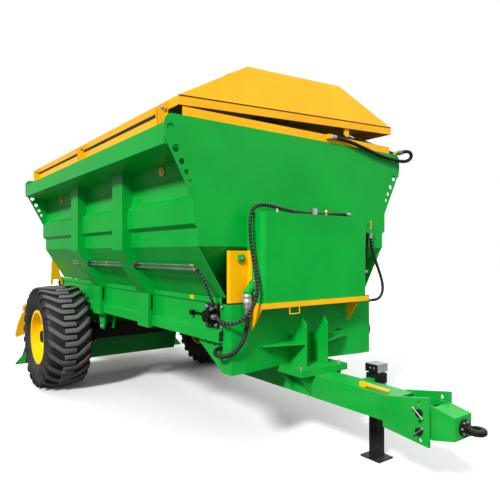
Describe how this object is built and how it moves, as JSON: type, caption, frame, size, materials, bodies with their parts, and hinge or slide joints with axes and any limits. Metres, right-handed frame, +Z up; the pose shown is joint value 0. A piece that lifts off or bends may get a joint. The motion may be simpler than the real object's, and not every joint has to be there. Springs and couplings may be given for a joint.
{
  "type": "towed fertilizer spreader",
  "caption": "Towed hopper spreader for fertilizer and lime: hinged roof lid over a ribbed hopper, floor belt, rear gate and spinning discs, flotation wheels, drawbar and parking jack.",
  "frame": {"origin": "middle of the overall length and width, on the ground", "axes": "+X forward to the towing eye, +Y to the left, +Z up"},
  "size_m": [6.041, 2.64, 3.0958],
  "materials": {
    "green_paint": "gloss",
    "yellow_paint": "gloss",
    "black_paint": "satin",
    "tyre_rubber": "matte",
    "belt_rubber": "matte",
    "bright_steel": "brushed",
    "galvanised": "zinc",
    "chrome": "polished",
    "lamp_lens": "clear red and amber",
    "hose_rubber": "matte"
  },
  "bodies": {
    "chassis": {"apron": "green_paint", "axle_beam": "black_paint", "axle_clamps": "black_paint", "conveyor_belt": "belt_rubber", "conveyor_motor": "black_paint", "conveyor_rollers": "bright_steel", "cross_members": "green_paint", "discharge_chute": "green_paint", "drawbar": "green_paint", "front_bulkhead": "green_paint", "front_gussets": "green_paint", "hitch_block": "green_paint", "hitch_pins": "black_paint", "hopper_front_slope": "green_paint", "hopper_front_wall": "green_paint", "hopper_rear_wall": "green_paint", "hopper_sides": "green_paint", "hose_left_drop": "hose_rubber", "hose_left_loop": "hose_rubber", "hose_lid": "hose_rubber", "hose_motor_feed": "hose_rubber", "hose_motor_return": "hose_rubber", "hose_suction": "hose_rubber", "hydraulic_pipes": "bright_steel", "jack_lever": "yellow_paint", "jack_sleeve": "green_paint", "lamp_brackets": "yellow_paint", "leaf_springs": "black_paint", "oil_tank": "green_paint", "rear_lamps": "lamp_lens", "rear_skirts": "green_paint", "rim_frame": "yellow_paint", "roller_bearings": "black_paint", "side_flaps": "yellow_paint", "side_frames": "green_paint", "side_ribs": "green_paint", "spinner_motors": "black_paint", "spreader_frame": "yellow_paint", "spring_hangers": "green_paint", "suction_elbow": "green_paint", "tank_bracket": "yellow_paint", "tank_cap": "chrome", "tank_guard": "yellow_paint", "towing_eye": "black_paint"},
    "wheel_right": {"tyre_right": "tyre_rubber", "rim_right": "yellow_paint", "hub_right": "black_paint"},
    "wheel_left": {"tyre_left": "tyre_rubber", "rim_left": "yellow_paint", "hub_left": "black_paint"},
    "lid": {"lid_frame": "yellow_paint", "lid_shell": "yellow_paint", "lid_hatch": "yellow_paint"},
    "ram_barrel": {"ram_barrel": "black_paint"},
    "ram_rod": {"ram_rod": "chrome"},
    "jack_leg": {"jack_leg": "black_paint", "jack_head": "galvanised"},
    "spinner_right": {"spinner_disc_right": "bright_steel"},
    "spinner_left": {"spinner_disc_left": "bright_steel"},
    "gate": {"metering_gate": "bright_steel"}
  },
  "joints": [
    {"name": "wheel_right_spin", "type": "hinge", "parent": "chassis", "child": "wheel_right", "pos_m": [-1.5855, -1.07, 0.585], "axis": [0, 1, 0], "continuous": true},
    {"name": "wheel_left_spin", "type": "hinge", "parent": "chassis", "child": "wheel_left", "pos_m": [-1.5855, 1.07, 0.585], "axis": [0, 1, 0], "continuous": true},
    {"name": "lid_hinge", "type": "hinge", "parent": "chassis", "child": "lid", "pos_m": [0, -1.19, 2.552], "axis": [1, 0, 0], "range_deg": [-2.9, 23]},
    {"name": "ram_swing", "type": "hinge", "parent": "chassis", "child": "ram_barrel", "pos_m": [1.4595, 1.215, 2.5], "axis": [-1, 0, 0], "range_deg": [-4.4, 34.6]},
    {"name": "ram_extend", "type": "slide", "parent": "ram_barrel", "child": "ram_rod", "axis": [0, -0.9899, 0.1414], "range_m": [-0.057, 0.448]},
    {"name": "jack_slide", "type": "slide", "parent": "chassis", "child": "jack_leg", "axis": [0, 0, 1], "range_m": [0, 0.3]},
    {"name": "spinner_right_spin", "type": "hinge", "parent": "chassis", "child": "spinner_right", "pos_m": [-2.6505, -0.49, 0.52], "axis": [0, 0, 1], "continuous": true},
    {"name": "spinner_left_spin", "type": "hinge", "parent": "chassis", "child": "spinner_left", "pos_m": [-2.6505, 0.49, 0.52], "axis": [0, 0, 1], "continuous": true},
    {"name": "gate_slide", "type": "slide", "parent": "chassis", "child": "gate", "axis": [0, 0, 1], "range_m": [0, 0.33]}
  ],
  "couplings": [
    {"joint": "ram_swing", "follows": "lid_hinge", "ratio": 1.5005},
    {"joint": "ram_extend", "follows": "lid_hinge", "m_per_rad": 1.115}
  ]
}
